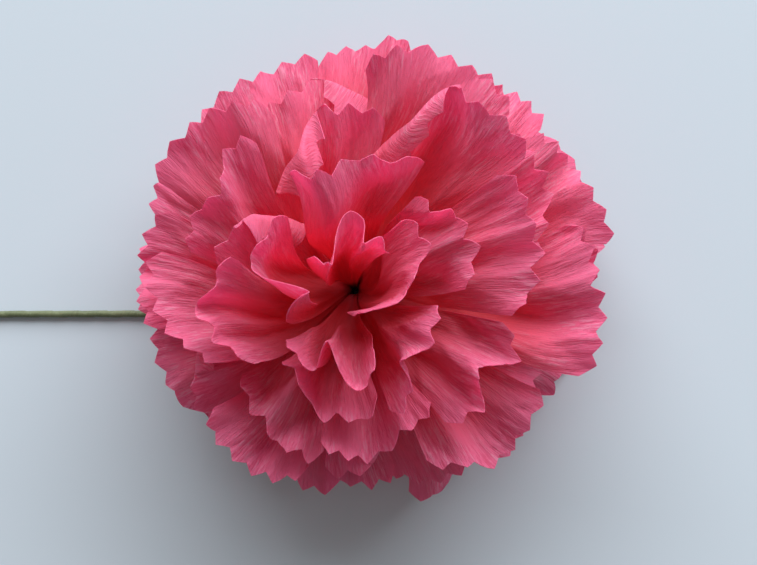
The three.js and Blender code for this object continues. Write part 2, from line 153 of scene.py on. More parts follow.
# The crepe's own relief. Crinkles run along the paper, creases slant over it, and teeth curl.
RING_SEEDS = 1000
CRINKLE_SEED, CRUMPLE_SEED, TOOTH_SEED = 0, 5000, 9000
CRINKLE_WAVES = 8
CRINKLE_PITCH = (1.3, 3.4)
CRINKLE_MEANDER, MEANDER_SWING = (9, 26), 0.22
CRINKLE_START, CRINKLE_END = 2, 18
CLAW_CRINKLE, CRINKLE_GROWTH = 0.15, (0.5, 1)
CRINKLE_FADE = 6
CRUMPLE_WAVES = 3
CRUMPLE_PITCH = (9, 22)
CRUMPLE_SLANT = 50
CRUMPLE_GROWTH = (0.25, 0.7)
HEART_CRUMPLE = 1.5
TOOTH_CURL, TOOTH_CURL_REACH = 0.25, 6

# The crepe's finish. Scales are a noise's waves per millimetre across and along the paper, spans are
# millimetres from a petal's tip, and bands are a noise's values.
UV_PETAL_STEP = 61.0
HEART_PETALS, HEART_STREAKS = 24, 0.65
WANDER_SCALE, WANDER = (0.30, 0.16, 1.0), 0.9
LINE_SCALE, FIBRE_SCALE = (2.3, 0.22, 1.0), (4.2, 0.35, 1.0)
CLOUD_SCALE, PATCH_SCALE = (0.05, 0.04, 1.0), (0.11, 0.08, 1.0)
# Painted light: the tip's paler colour and the ridges' pale lines are painted highlight, and the
# claw's deeper colour and the furrows are painted shade.
TIP_SPAN, STREAK_SPAN, BUMP_SPAN = (-30.0, 0.0), (-30.0, -2.0), (-34.0, -2.0)
RIDGE_BAND, FURROW_BAND, PATCH_BAND = (0.54, 0.59), (0.41, 0.45), (0.40, 0.58)
NOISE_BAND = (0.3, 0.7)
CLAW_STREAKS, UNSTREAKED_PATCH = 0.12, 0.15
RIDGE_SHARE, FURROW_SHARE = 0.5, 0.5
CLOUD_SHADES = (0.93, 1.06)
CLAW_BUMP, BUMP_HEIGHT, FIBRE_BUMP = 0.3, 0.0005, 0.35
PAPER_ROUGHNESS, PAPER_SHEEN = 0.7, 0.35

# The floral tape's winding, and the finishes of the stem. Scales on the tape are waves per millimetre
# round it and along it, and those on the wire and the thread are waves per metre.
TAPE_ROW = 0.45
TAPE_SIDES = 36
TAPE_PROBE = 0.01
TAPE_SLANT = 0.5
TAPE_LINE_SCALE, TAPE_PATCH_SCALE = (0.6, 3.0, 1.0), (0.12, 0.10, 1.0)
RUBBED_BAND, RUBBED_SHARE = (0.45, 0.7), 0.35
TAPE_BUMP, TAPE_BUMP_HEIGHT = 0.5, 0.0002
TAPE_ROUGHNESS, WIRE_ROUGHNESS, THREAD_ROUGHNESS = (0.5, 0.68), (0.28, 0.48), 0.85
STREAK_SCALE, PLY_SCALE = (120.0, 4000.0, 4000.0), (2500.0, 2500.0, 5000.0)
PLY_BUMP, PLY_BUMP_HEIGHT = 0.6, 0.0001

# The stage, in metres and degrees.
FLOOR_SCALE, FLOOR_TONE = (3.0, 3.0, 3.0), 0.97
FLOOR_ROUGHNESS, FLOOR_SHEEN = 0.95, 0.1
BLOOM_MIDDLE = 0.03
WINDOW_OFFSET = (0.28, 1.57, 1.04)
SKY_COLOUR = (1.0, 0.95, 0.88)
LENS, SENSOR_WIDTH = 56.4, 36
CAMERA_SIDE, CAMERA_TILT = 2.0, 5.4


def foot_of_bloom():
    """The point on the flower's axis where its petals start to bend, in metres."""
    low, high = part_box("binding_thread")
    middle = (low + high) / 2
    return np.array([middle.x, middle.y, middle.z + BINDING_DROP * MM])


def chance(ring, petal, trait):
    """A number from 0 to 1 that is always the same for one trait of one petal: the fraction of a sine
    with a very large swing."""
    angle = ring * RING_SCATTER + petal * PETAL_SCATTER + trait * TRAIT_SCATTER + SCATTER
    swung = math.sin(angle) * SCATTER_SWING
    return swung - math.floor(swung)


def either(ring, petal, trait):
    """As chance, from -1 to 1."""
    return 2 * chance(ring, petal, trait) - 1


def lerp(start, end, share):
    """A straight blend from start to end."""
    return start + (end - start) * share


def smoothstep(x, low, high):
    """An S-shaped rise from 0 at low to 1 at high."""
    share = np.clip((x - low) / (high - low), 0, 1)
    return share * share * (3 - 2 * share)


def unit(vectors):
    """Vectors divided by their lengths."""
    return vectors / np.maximum(np.linalg.norm(vectors, axis=-1, keepdims=True), SHORTEST)


def triangle(phase):
    """A wave with flat flanks and sharp creases, from -1 to 1, once in each whole phase."""
    return 4 * np.abs(phase - np.floor(phase) - 0.5) - 1


def arc_end(start, turn, length):
    """The end of an arc: its chord points along the mean of its first and last headings."""
    half = turn / 2
    chord = length * np.sinc(half / np.pi)
    return chord * np.sin(start + half), chord * np.cos(start + half)


def wave_at(wave, layer, azimuth):
    """A sine round the flower, with a number of lobes, that twists from layer to layer."""
    lobes, swing, phase, twist = wave
    return swing * np.sin(lobes * azimuth + phase + twist * layer)


def lean_at(layer, azimuth):
    """The blades' lean from upright: it grows with a power of the layer, less a cosine that levels
    the rim, with waves round the flower and a narrow lift over the stem."""
    lean = lerp(HEART_LEAN, RIM_LEAN, np.sign(layer) * np.abs(layer) ** LEAN_POWER)
    lean = lean - RIM_LEVELLING * layer * np.cos(azimuth - math.radians(RIM_LEVELLING_AZIMUTH))
    for wave in LEAN_WAVES:
        lean = lean + lerp(1, RIM_WAVES, layer) * wave_at(wave, layer, azimuth)
    facing = (1 + np.cos(azimuth - math.radians(STEM_LIFT_AZIMUTH))) / 2
    return np.radians(lean - STEM_LIFT * facing ** STEM_LIFT_NARROWNESS)


def layer_point(layer, along, azimuth):
    """Radius and height on one of the nested trumpets: a straight claw, an arc and a slow curl."""
    lean = lean_at(layer, azimuth)
    bent = np.clip(along, 0, BEND_LENGTH)
    foot_out, foot_up = arc_end(0, lean * bent / BEND_LENGTH, bent)
    beyond = np.maximum(along - BEND_LENGTH, 0)
    curl = lerp(HEART_CURL, 1, layer) + wave_at(CURL_WAVE, layer, azimuth)
    blade_out, blade_up = arc_end(lean, curl * beyond / CURL_RADIUS, beyond)
    radius = HEART_CLAW_RADIUS + layer / LAYER_STEP * RING_PITCH + foot_out + blade_out
    return radius, np.minimum(along, 0) + foot_up + blade_up


def settle(x, y, z):
    """Leans the heart over and adds slow sine dents, more the farther from the binding."""
    inward = np.maximum(1 - np.hypot(x, y) / HEART_REACH, 0)
    heart = smoothstep(z, HEART_LEAN_START, HEART_LEAN_END) * inward
    dent = DENT * smoothstep(np.sqrt(x * x + y * y + z * z), DENT_START, DENT_END)
    wave = 2 * math.pi / DENT_LENGTH
    dents = [dent * np.sin(wave * (of_x * x + of_y * y + of_z * z) + phase)
             for of_x, of_y, of_z, phase in DENT_WAVES]
    return np.stack([
        x + HEART_LEAN_X * heart + dents[0],
        y + HEART_LEAN_Y * heart + dents[1],
        z + dents[2],
    ], -1)


class Petal:
    """The traits of one petal that are worked out once."""

    def __init__(self, ring, index):
        count = PETALS_IN_RINGS[ring]
        self.ring, self.index = ring, index
        self.node = f"petal_{ring + 1}_{index + 1:02d}"
        self.layer = ring * LAYER_STEP
        self.sector = 2 * math.pi / count
        stagger = RING_STAGGER * (ring % 2)
        self.azimuth = self.sector * (index + stagger) + math.radians(RING_TURN) * ring
        mean = lerp(HEART_PETAL_LENGTH, RIM_PETAL_LENGTH, self.layer)
        spread = lerp(HEART_LENGTH_SPREAD, RIM_LENGTH_SPREAD, self.layer)
        offset = math.cos(self.azimuth - math.radians(BLOOM_OFFSET_AZIMUTH))
        self.length = mean * (1 + spread * self.either(LENGTH)) + BLOOM_OFFSET * self.layer * offset
        self.blade_share = lerp(HEART_BLADE_SHARE, RIM_BLADE_SHARE, self.layer)
        radius, _ = layer_point(self.layer, self.length, self.azimuth)
        self.tip_width = float(self.blade_share * self.sector * radius)
        self.teeth = max(FEWEST_TEETH, round(self.tip_width / TOOTH_PITCH))
        self.corner_drop = CORNER_DROP + CORNER_SPREAD * self.chance(CORNER)
        self.slant = EDGE_SLANT * self.either(SLANT)
        self.drift = lerp(HEART_DRIFT, RIM_DRIFT, self.layer) * self.either(DRIFT)
        folded = self.chance(FOLDING) < FOLDED_SHARE
        fold_side = 1 if self.chance(FOLD_SIDE) < EVEN_CHANCE else -1
        self.fold = FOLD * fold_side if folded else 0
        self.calm = FOLDED_RUFFLE if folded else 1
        self.crease = CREASE_OFFSET * self.either(CREASE)
        flapped = 0 < self.layer < FLAPPED_TO and self.chance(FLAPPING) < FLAPPED_SHARE
        flap_side = 1 if self.chance(FLAP_SIDE) < EVEN_CHANCE else -1
        self.flap = flap_side if flapped else 0
        self.press = 1 if self.layer < 1 else RIM_PRESS
        self.room = 1 if self.layer > 0 else HEART_ROOM
        self.right_side = 1 if self.chance(ORDER) > EVEN_CHANCE else -1
        before = (index + count - 1) % count
        self.left_side = -1 if chance(ring, before, ORDER) > EVEN_CHANCE else 1

    def chance(self, trait):
        """This petal's chance for a trait, from 0 to 1."""
        return chance(self.ring, self.index, trait)

    def either(self, trait):
        """This petal's chance for a trait, from -1 to 1."""
        return either(self.ring, self.index, trait)

    def draws(self, seed):
        """This petal's random draws for one kind of relief, the same in each run."""
        return np.random.default_rng(seed + RING_SEEDS * self.ring + self.index)


def notch_line(petal, across):
    """Distance from the bend's foot to the notches: the petal's length less a power of the place
    across, which drops the corners, and a slant."""
    drop = petal.corner_drop * across ** CORNER_POWER
    return petal.length * (1 - drop - petal.slant * across) - TOOTH_DEPTH


def flap_line(petal, across):
    """The straight line that a flapped corner is folded on, from a notch down to the petal's side,
    and its slope."""
    start_across = 1 - 2 * FLAP_TEETH / petal.teeth
    start = notch_line(petal, petal.flap * start_across)
    end = notch_line(petal, petal.flap) - FLAP_DEPTH
    slope = 2 * (start - end) / ((1 - start_across) * petal.tip_width)
    return lerp(start, end, (petal.flap * across - start_across) / (1 - start_across)), slope


def folded_place(petal, along, across):
    """Where a place of the flat petal lies once its corner is folded: mirrored in the fold's line.
    The flap's rise off the petal grows with the square root of the distance from that line."""
    if petal.flap == 0:
        return along, across, 0
    line, slope = flap_line(petal, across)
    beyond = np.maximum(along - line, 0)
    back = 2 * beyond / (1 + slope * slope)
    across = across - 2 * petal.flap * slope * back / petal.tip_width
    return along - back, across, FLAP_RISE * np.sqrt(beyond / FLAP_DEPTH)


def ruffle(petal, reach, across, rise):
    """How far a petal is ruffled to the rim (+1) or the heart (-1): a cup, a tip curl, broad and
    fine waves and a fold in its middle, blended into lifted sides and held by a tanh."""
    right = smoothstep(across, SIDE_START, SIDE_END)
    left = smoothstep(-across, SIDE_START, SIDE_END)
    broad_turns = lerp(*BROAD_RUFFLES, petal.chance(BROAD_TURNS))
    broad = np.sin(np.pi * (broad_turns * across + 2 * petal.chance(BROAD_PHASE)))
    fine_turns = lerp(*FINE_RUFFLES, petal.chance(FINE_TURNS))
    fine = np.sin(np.pi * (fine_turns * across + 2 * petal.chance(FINE_PHASE)))
    curl = TIP_REFLEX + TIP_CURL * petal.either(CURLING)
    curl = curl * smoothstep(reach, TIP_CURL_START, 1)
    waves = CUP * petal.either(CUPPING) + curl
    waves = waves + BROAD_RUFFLE * broad * reach + FINE_RUFFLE * fine * reach * reach
    ridge = np.maximum(1 - np.abs(across - petal.crease) / FOLD_WIDTH, FOLD_RETURN)
    middle = petal.calm * waves + petal.fold * ridge * smoothstep(reach, FOLD_START, FOLD_END)
    edge = EDGE_LIFT + FINE_RUFFLE * fine * reach
    sides = (right * petal.right_side + left * petal.left_side) * edge
    ruffled = np.tanh((1 - right - left) * middle + sides - rise)
    return np.where(ruffled > 0, petal.press, petal.room) * ruffled


def petal_points(petal, along, across, shift=0):
    """A petal's middle surface in millimetres from the foot: the layer that its ruffles put it on,
    at the azimuth that its fan shape and sway give. A shift takes it to another layer."""
    along, across, rise = folded_place(petal, along, across)
    reach = np.clip(along / petal.length, 0, REACH_END)
    spread = smoothstep(along, SPREAD_START, SPREAD_END)
    half_angle = lerp(CLAW_SHARE, petal.blade_share, spread) * petal.sector / 2
    sway = TIP_SWAY * petal.either(SWAY) * reach * reach
    angle = petal.azimuth + half_angle * across + spread * (petal.drift + sway) * petal.sector / 2
    room = RUFFLE_ROOM * LAYER_STEP / 2
    swell = room * smoothstep(along, RUFFLE_START, RUFFLE_END)
    ruffled = swell * ruffle(petal, reach, across, rise)
    radius, height = layer_point(petal.layer + ruffled + shift, along, angle)
    return settle(radius * np.cos(angle), radius * np.sin(angle), height)


def outward(petal, along, across):
    """Unit directions from a petal's points to those of the next layer out. Apart from a folded
    corner, a petal is a graph over its layer, so relief along these can't make it cross itself."""
    inner = petal_points(petal, along, across, -LAYER_PROBE)
    outer = petal_points(petal, along, across, LAYER_PROBE)
    return unit(outer - inner)


def petal_grid(petal):
    """Along, across and tooth height (0 in a notch, 1 at a point) on a grid. Its last row is the
    zigzag edge, with straight flanks between notches and points, and one row before it lies on the
    line that a flap is folded on, or near the notches."""
    columns = 2 * petal.teeth * COLUMNS_IN_HALF_TOOTH
    across = np.linspace(-1, 1, columns + 1)[None, :]
    tooth = 1 - 2 * np.abs((across + 1) / 2 * petal.teeth % 1 - 0.5)
    notches = notch_line(petal, across)
    line = lerp(BEND_LENGTH, notches, FLAP_ROW if petal.flap else TIP_ROW)
    if petal.flap:
        line = np.minimum(line, flap_line(petal, across)[0])
    edge = notches + TOOTH_DEPTH * tooth
    blade = np.linspace(0, 1, ROWS + 1)[:, None] ** ROW_CROWDING
    tip = np.linspace(0, 1, TIP_ROWS + 1)[1:, None]
    along = np.concatenate([lerp(-CLAW_LENGTH, line, blade), lerp(line, edge, tip)])
    return along, across + 0 * along, tooth + 0 * along


def surface_normals(points):
    """Unit normals of a grid of points, from the cross product of its two differences."""
    return unit(np.cross(np.gradient(points, axis=1), np.gradient(points, axis=0)))


def crinkle(petal, width, along):
    """The crepe's relief from -1 to 1: creased waves across the paper whose lines run along it and
    meander slowly, each with its own pitch."""
    draw = petal.draws(CRINKLE_SEED)
    relief = 0
    for _ in range(CRINKLE_WAVES):
        pitch = draw.uniform(*CRINKLE_PITCH)
        meander = draw.uniform(*CRINKLE_MEANDER)
        start, sway = draw.uniform(0, 1, 2)
        bent = MEANDER_SWING * np.sin(2 * np.pi * (along / meander + sway))
        relief = relief + pitch * triangle(width / pitch + start + bent)
    return relief / (CRINKLE_WAVES ** 0.5 * CRINKLE_PITCH[1])


def crumple(petal, along, across):
    """Flat planes that meet in slanting creases, about -1 to 1: a few broad creased waves, each
    with its own pitch and slant to the paper's length. A folded corner takes the creases of the
    paper under it."""
    draw = petal.draws(CRUMPLE_SEED)
    along, across, _ = folded_place(petal, along, across)
    width = across * petal.tip_width / 2
    relief = 0
    for _ in range(CRUMPLE_WAVES):
        pitch = draw.uniform(*CRUMPLE_PITCH)
        slant = math.radians(draw.uniform(-CRUMPLE_SLANT, CRUMPLE_SLANT))
        phase = (width * math.cos(slant) + along * math.sin(slant)) / pitch + draw.uniform(0, 1)
        relief = relief + pitch * triangle(phase)
    return relief / (CRUMPLE_WAVES ** 0.5 * CRUMPLE_PITCH[1])


def tooth_curl(petal, across, tooth, along):
    """Each tooth is bent a little its own way: a random share times its height, near the tip."""
    bends = petal.draws(TOOTH_SEED).uniform(-1, 1, petal.teeth)
    which = np.clip(((across + 1) / 2 * petal.teeth).astype(int), 0, petal.teeth - 1)
    near_tip = smoothstep(along, petal.length - TOOTH_CURL_REACH, petal.length)
    return TOOTH_CURL * bends[which] * tooth * near_tip


def closed_sheet(points, thickness):
    """A grid of points as a sheet: the front and back lie half a thickness along the normals, and a
    strip joins them round the edge. Returns its points, its quads, and how many of the first quads
    are the front and the back."""
    rows, columns = points.shape[:2]
    normals = surface_normals(points)
    front = (points + normals * thickness / 2).reshape(-1, 3)
    back = (points - normals * thickness / 2).reshape(-1, 3)
    index = np.arange(rows * columns).reshape(rows, columns)
    corners = [index[:-1, :-1], index[:-1, 1:], index[1:, 1:], index[1:, :-1]]
    quads = np.stack(corners, -1).reshape(-1, 4)
    rim = np.concatenate([index[0], index[1:, -1], index[-1, -2::-1], index[-2:0:-1, 0]])
    after = np.roll(rim, -1)
    behind = rows * columns
    strip = np.stack([after, rim, rim + behind, after + behind], -1)
    faces = np.concatenate([quads, quads[:, ::-1] + behind, strip])
    return np.concatenate([front, back]), faces, 2 * len(quads)


def add_object(name, data):
    """An object in the scene for a mesh, a light or a camera."""
    added = bpy.data.objects.new(name, data)
    bpy.context.scene.collection.objects.link(added)
    return added


def piece_from(name, points, faces, smooth_faces, uv, material):
    """An object at the origin from points in millimetres off the bloom's foot, with a UV map in
    millimetres of paper."""
    mesh = bpy.data.meshes.new(name)
    mesh.from_pydata((points * MM + foot_of_bloom()).tolist(), [], faces.tolist())
    smooth = np.arange(len(faces)) < smooth_faces
    mesh.polygons.foreach_set("use_smooth", smooth)
    layer = mesh.uv_layers.new(name="paper")
    layer.data.foreach_set("uv", uv[faces.ravel()].astype(np.float32).ravel())
    mesh.update()
    mesh.set_sharp_from_angle(angle=math.radians(SHARP_ANGLE))
    mesh.materials.append(material)
    return add_object(name, mesh)


def petal_piece(petal, settings, material):
    """One petal: its middle surface, moved outward by its crinkles, its creases and the curl of its
    teeth. The crinkles fade out towards a folded corner, which is pressed flat."""
    along, across, tooth = petal_grid(petal)
    points = petal_points(petal, along, across)
    reach = np.clip(along / petal.length, 0, 1)
    width = across * petal.tip_width / 2
    depth = settings.crinkle / MM * lerp(CLAW_CRINKLE, 1, smoothstep(reach, *CRINKLE_GROWTH))
    started = smoothstep(along, CRINKLE_START, CRINKLE_END)
    relief = depth * crinkle(petal, width, along) * started
    if petal.flap:
        relief = relief * smoothstep(flap_line(petal, across)[0] - along, 0, CRINKLE_FADE)
    crisp = lerp(HEART_CRUMPLE, 1, petal.layer) * smoothstep(reach, *CRUMPLE_GROWTH)
    creases = settings.crumple / MM * crisp * crumple(petal, along, across)
    relief = relief + creases + tooth_curl(petal, across, tooth, along)
    points = points + outward(petal, along, across) * relief[..., None]
    vertices, faces, smooth_faces = closed_sheet(points, settings.paper / MM)
    order = sum(PETALS_IN_RINGS[:petal.ring]) + petal.index
    uv = np.stack([width + UV_PETAL_STEP * order, along - petal.length], -1).reshape(-1, 2)
    uv = np.concatenate([uv, uv])
    return piece_from("paper_" + petal.node, vertices, faces, smooth_faces, uv, material)


def stem_line(distance, table_line):
    """The stem's centre line: straight down, a quarter turn to the table, a sway in plan, then
    straight on, each for its own stretch of the distance."""
    drop = TAPE_TOP - (table_line + STEM_BEND_RADIUS)
    sway_start = drop + STEM_BEND_RADIUS * math.pi / 2
    heading = math.radians(STEM_HEADING)
    bend = np.clip((distance - drop) / STEM_BEND_RADIUS, 0, math.pi / 2)
    swayed = np.clip(distance - sway_start, 0, STEM_SWAY_LENGTH)
    sway_out, sway_up = arc_end(heading, -heading * swayed / STEM_SWAY_LENGTH, swayed)
    reach = STEM_BEND_RADIUS * (1 - np.cos(bend))
    straight = np.maximum(distance - sway_start - STEM_SWAY_LENGTH, 0)
    return np.stack([
        -reach * math.cos(heading) - sway_up - straight,
        -reach * math.sin(heading) - sway_out,
        TAPE_TOP - np.minimum(distance, drop) - STEM_BEND_RADIUS * np.sin(bend),
    ], -1)


def stem_spokes(place, turn, table_line):
    """Unit directions round the stem's line: the cosine of the turn along a level side, and its sine
    along the direction that is square to the side and to the line's heading."""
    ahead = stem_line(place + TAPE_PROBE, table_line)
    heading = unit(ahead - stem_line(place - TAPE_PROBE, table_line))
    plan = math.radians(STEM_HEADING)
    side = np.array([math.sin(plan), -math.cos(plan), 0.0])
    side = unit(side - heading * (heading @ side)[..., None])
    angle = 2 * np.pi * turn[..., None]
    return np.cos(angle) * side + np.sin(angle) * np.cross(heading, side)


def tape_piece(settings, material):
    """The floral tape as a wound strip: a round section carried along the stem's line, with a bore
    for the wire. Its outside sinks with the square of the winding, then steps up by a lap."""
    table_line = -foot_of_bloom()[2] / MM + WIRE_RADIUS + FIT + TAPE
    thread_bore = (BUNDLE_RADIUS + FIT) / math.cos(math.pi / BINDING_SEGMENTS)
    calyx_bore = thread_bore + THREAD + FIT
    sleeve_bore = WIRE_RADIUS + FIT / 2
    taper_start = TAPE_TOP + CLAW_LENGTH + FIT
    place = np.linspace(0, STEM_LENGTH, round(STEM_LENGTH / TAPE_ROW) + 1)[:, None]
    turn = np.linspace(0, 1, TAPE_SIDES, endpoint=False)[None, :]
    bore = lerp(calyx_bore, sleeve_bore, smoothstep(place, taper_start, taper_start + TAPER_LENGTH))
    lap = settings.lap / MM
    winding = (place / (settings.wrap_pitch / MM) - turn) % 1
    outside = bore + TAPE - lap * winding ** 2 + 0 * turn
    centre = stem_line(place, table_line)
    spoke = stem_spokes(place, turn, table_line)
    outer = centre + spoke * outside[..., None]
    inner = centre + spoke * (bore + 0 * turn)[..., None]
    shell = np.concatenate([outer, inner[::-1]])
    rows, sides = shell.shape[:2]
    index = np.arange(rows * sides).reshape(rows, sides)
    down = np.roll(index, -1, axis=0)
    corners = [index, np.roll(index, -1, axis=1), np.roll(down, -1, axis=1), down]
    quads = np.stack(corners, -1).reshape(-1, 4)
    uv = np.stack([2 * np.pi * outside * turn, place + 0 * turn], -1)
    uv = np.concatenate([uv, uv[::-1]]).reshape(-1, 2)
    return piece_from("wound_tape", shell.reshape(-1, 3), quads, len(quads), uv, material)


class Finish:
    """A node material: adds nodes by type, and sets or links their sockets in the same call."""

    def __init__(self, name):
        self.material = bpy.data.materials.new(name)
        self.material.use_nodes = True
        self.tree = self.material.node_tree
        self.tree.nodes.clear()

    def node(self, kind, settings=None, **sockets):
        """A node with its settings, and its sockets set to values or linked from other sockets."""
        node = self.tree.nodes.new("ShaderNode" + kind)
        for key, value in (settings or {}).items():
            setattr(node, key, value)
        for key, value in sockets.items():
            number = key.lstrip("_")
            socket = node.inputs[int(number) if number.isdigit() else key.replace("_", " ")]
            if isinstance(value, bpy.types.NodeSocket):
                self.tree.links.new(value, socket)
            else:
                socket.default_value = value
        return node

    def math(self, operation, first, second):
        """A sum or product of two values or sockets."""
        return self.node("Math", {"operation": operation}, _0=first, _1=second).outputs[0]

    def noise(self, vector, scale, detail=2.0, roughness=0.5):
        """A noise on a vector that a Mapping node has stretched."""
        stretched = self.node("Mapping", Vector=vector, Scale=scale).outputs[0]
        return self.node("TexNoise", Vector=stretched, Scale=1.0, Detail=detail,
                         Roughness=roughness).outputs[0]

    def ranged(self, value, low, high, to_low, to_high):
        """An S-shaped change from to_low, where the value is low, to to_high, where it is high."""
        return self.node("MapRange", {"interpolation_type": "SMOOTHSTEP"}, Value=value,
                         From_Min=low, From_Max=high, To_Min=to_low, To_Max=to_high).outputs[0]

    def blend(self, factor, first, second, kind="MIX"):
        """A colour mix; the factor, or either colour, may be a socket. A Mix node takes its colours
        at inputs 6 and 7 and gives a colour at output 2."""
        node = self.node("Mix", {"data_type": "RGBA", "blend_type": kind})
        for number, value in ((0, factor), (6, first), (7, second)):
            if isinstance(value, bpy.types.NodeSocket):
                self.tree.links.new(value, node.inputs[number])
            else:
                node.inputs[number].default_value = value
        return node.outputs[2]

    def output(self, shader):
        """The finished material, with a shader for its surface."""
        self.node("OutputMaterial", Surface=shader)
        return self.material


def opaque(colour):
    """A colour with full alpha."""
    return (*colour, 1.0)


def crepe_finish(settings):
    """Crepe paper: fine wavering lines along the sheet, strongest near the tip, as ridges with a
    painted highlight, furrows with painted shade, and bump. The colour is paler towards the tip as a
    painted highlight and deeper towards the claw as painted shade, with light coming through. Each
    petal has its own stretch of the UV map's first axis, and the heart's petals have fainter painted
    lines."""
    finish = Finish("crepe_paper")
    paper = finish.node("UVMap", {"uv_map": "paper"}).outputs[0]
    place = finish.node("SeparateXYZ", Vector=paper)
    from_tip = place.outputs[1]
    heart_end = UV_PETAL_STEP * HEART_PETALS
    heart_fade = finish.ranged(place.outputs[0], 0.0, heart_end, HEART_STREAKS, 1.0)
    wander = finish.noise(paper, WANDER_SCALE)
    wander = finish.node("VectorMath", {"operation": "SCALE"}, _0=wander, Scale=WANDER).outputs[0]
    bent = finish.node("VectorMath", {"operation": "ADD"}, _0=paper, _1=wander).outputs[0]
    lines = finish.noise(bent, LINE_SCALE, detail=3.0, roughness=0.65)
    fibres = finish.noise(bent, FIBRE_SCALE, roughness=0.6)
    clouds = finish.noise(paper, CLOUD_SCALE)
    patches = finish.noise(paper, PATCH_SCALE)
    # Painted highlight and shade: the colour is paler towards the lit tip and deeper towards the
    # claw, where shade falls.
    tip = finish.ranged(from_tip, *TIP_SPAN, 0.0, 1.0)
    colour = finish.blend(tip, opaque(settings.claw_colour), opaque(settings.tip_colour))
    shade = finish.ranged(clouds, *NOISE_BAND, *CLOUD_SHADES)
    grey = finish.node("CombineXYZ", X=shade, Y=shade, Z=shade).outputs[0]
    colour = finish.blend(1.0, colour, grey, "MULTIPLY")
    # How strongly the painted highlight on the ridges and the painted shade in the furrows show:
    # faint towards the claw, in patches and in the heart.
    streaked = finish.ranged(from_tip, *STREAK_SPAN, CLAW_STREAKS, 1.0)
    streaked = finish.math("MULTIPLY", streaked, finish.ranged(patches, *PATCH_BAND, UNSTREAKED_PATCH, 1.0))
    streaked = finish.math("MULTIPLY", streaked, heart_fade)
    # Painted highlight: the crepe's ridges are made paler, as if lit.
    ridges = finish.math("MULTIPLY", finish.ranged(lines, *RIDGE_BAND, 0.0, RIDGE_SHARE), streaked)
    colour = finish.blend(ridges, colour, opaque(settings.ridge_highlight_colour))
    # Painted shade: the crepe's furrows are made deeper, as if in shadow.
    furrows = finish.math("MULTIPLY", finish.ranged(lines, *FURROW_BAND, FURROW_SHARE, 0.0), streaked)
    colour = finish.blend(furrows, colour, opaque(settings.furrow_shade_colour))
    relief = finish.math("ADD", lines, finish.math("MULTIPLY", fibres, FIBRE_BUMP))
    relief = finish.math("MULTIPLY", relief, finish.ranged(from_tip, *BUMP_SPAN, CLAW_BUMP, 1.0))
    bump = finish.node("Bump", Strength=1.0, Distance=BUMP_HEIGHT, Height=relief).outputs[0]
    sheet = finish.node("BsdfPrincipled", Base_Color=colour, Roughness=PAPER_ROUGHNESS, Normal=bump)
    sheet.inputs["Specular IOR Level"].default_value = PAPER_SHEEN
    through = finish.blend(1.0, colour, opaque(settings.glow_colour), "MULTIPLY")
    glow = finish.node("BsdfTranslucent", Color=through, Normal=bump)
    mixed = finish.node("MixShader", Fac=settings.glow)
    finish.tree.links.new(sheet.outputs[0], mixed.inputs[1])
    finish.tree.links.new(glow.outputs[0], mixed.inputs[2])
    return finish.output(mixed.outputs[0])


def tape_finish(settings):
    """Waxed floral tape: slanting crepe lines in its colour and bump, paler patches where the wax
    has rubbed, and a satin roughness."""
    finish = Finish("floral_tape_wound")
    strip = finish.node("UVMap", {"uv_map": "paper"}).outputs[0]
    slant = finish.node("Mapping", Vector=strip, Rotation=(0.0, 0.0, TAPE_SLANT)).outputs[0]
    lines = finish.noise(slant, TAPE_LINE_SCALE, detail=3.0, roughness=0.6)
    patches = finish.noise(strip, TAPE_PATCH_SCALE)
    colour = finish.blend(finish.ranged(lines, *NOISE_BAND, 0.0, 1.0), opaque(settings.tape_dark),
                          opaque(settings.tape_colour))
    rubbed = finish.ranged(patches, *RUBBED_BAND, 0.0, RUBBED_SHARE)
    colour = finish.blend(rubbed, colour, opaque(settings.tape_pale))
    bump = finish.node("Bump", Strength=TAPE_BUMP, Distance=TAPE_BUMP_HEIGHT, Height=lines).outputs[0]
    rough = finish.ranged(patches, *NOISE_BAND, *TAPE_ROUGHNESS)
    tape = finish.node("BsdfPrincipled", Base_Color=colour, Roughness=rough, Normal=bump)
    return finish.output(tape.outputs[0])


def wire_finish(settings):
    """Green lacquered wire: long faint streaks in its roughness and colour."""
    finish = Finish("lacquered_wire")
    place = finish.node("TexCoord").outputs["Object"]
    streaks = finish.noise(place, STREAK_SCALE)
    colour = finish.blend(streaks, opaque(settings.wire_dark), opaque(settings.wire_colour))
    rough = finish.ranged(streaks, *NOISE_BAND, *WIRE_ROUGHNESS)
    wire = finish.node("BsdfPrincipled", Base_Color=colour, Roughness=rough)
    return finish.output(wire.outputs[0])


def thread_finish(settings):
    """Twisted cotton thread: fine plies in its colour and bump."""
    finish = Finish("twisted_thread")
    place = finish.node("TexCoord").outputs["Object"]
    plies = finish.noise(place, PLY_SCALE, detail=3.0)
    colour = finish.blend(plies, opaque(settings.thread_dark), opaque(settings.thread_colour))
    bump = finish.node("Bump", Strength=PLY_BUMP, Distance=PLY_BUMP_HEIGHT, Height=plies).outputs[0]
    thread = finish.node("BsdfPrincipled", Base_Color=colour, Roughness=THREAD_ROUGHNESS, Normal=bump)
    return finish.output(thread.outputs[0])


def floor_finish(settings):
    """A plain pale floor with a trace of tone."""
    finish = Finish("pale_floor")
    place = finish.node("TexCoord").outputs["Object"]
    tone = finish.noise(place, FLOOR_SCALE)
    tint = tuple(FLOOR_TONE * channel for channel in settings.floor_colour)
    colour = finish.blend(tone, opaque(tint), opaque(settings.floor_colour))
    floor = finish.node("BsdfPrincipled", Base_Color=colour, Roughness=FLOOR_ROUGHNESS)
    floor.inputs["Specular IOR Level"].default_value = FLOOR_SHEEN
    return finish.output(floor.outputs[0])


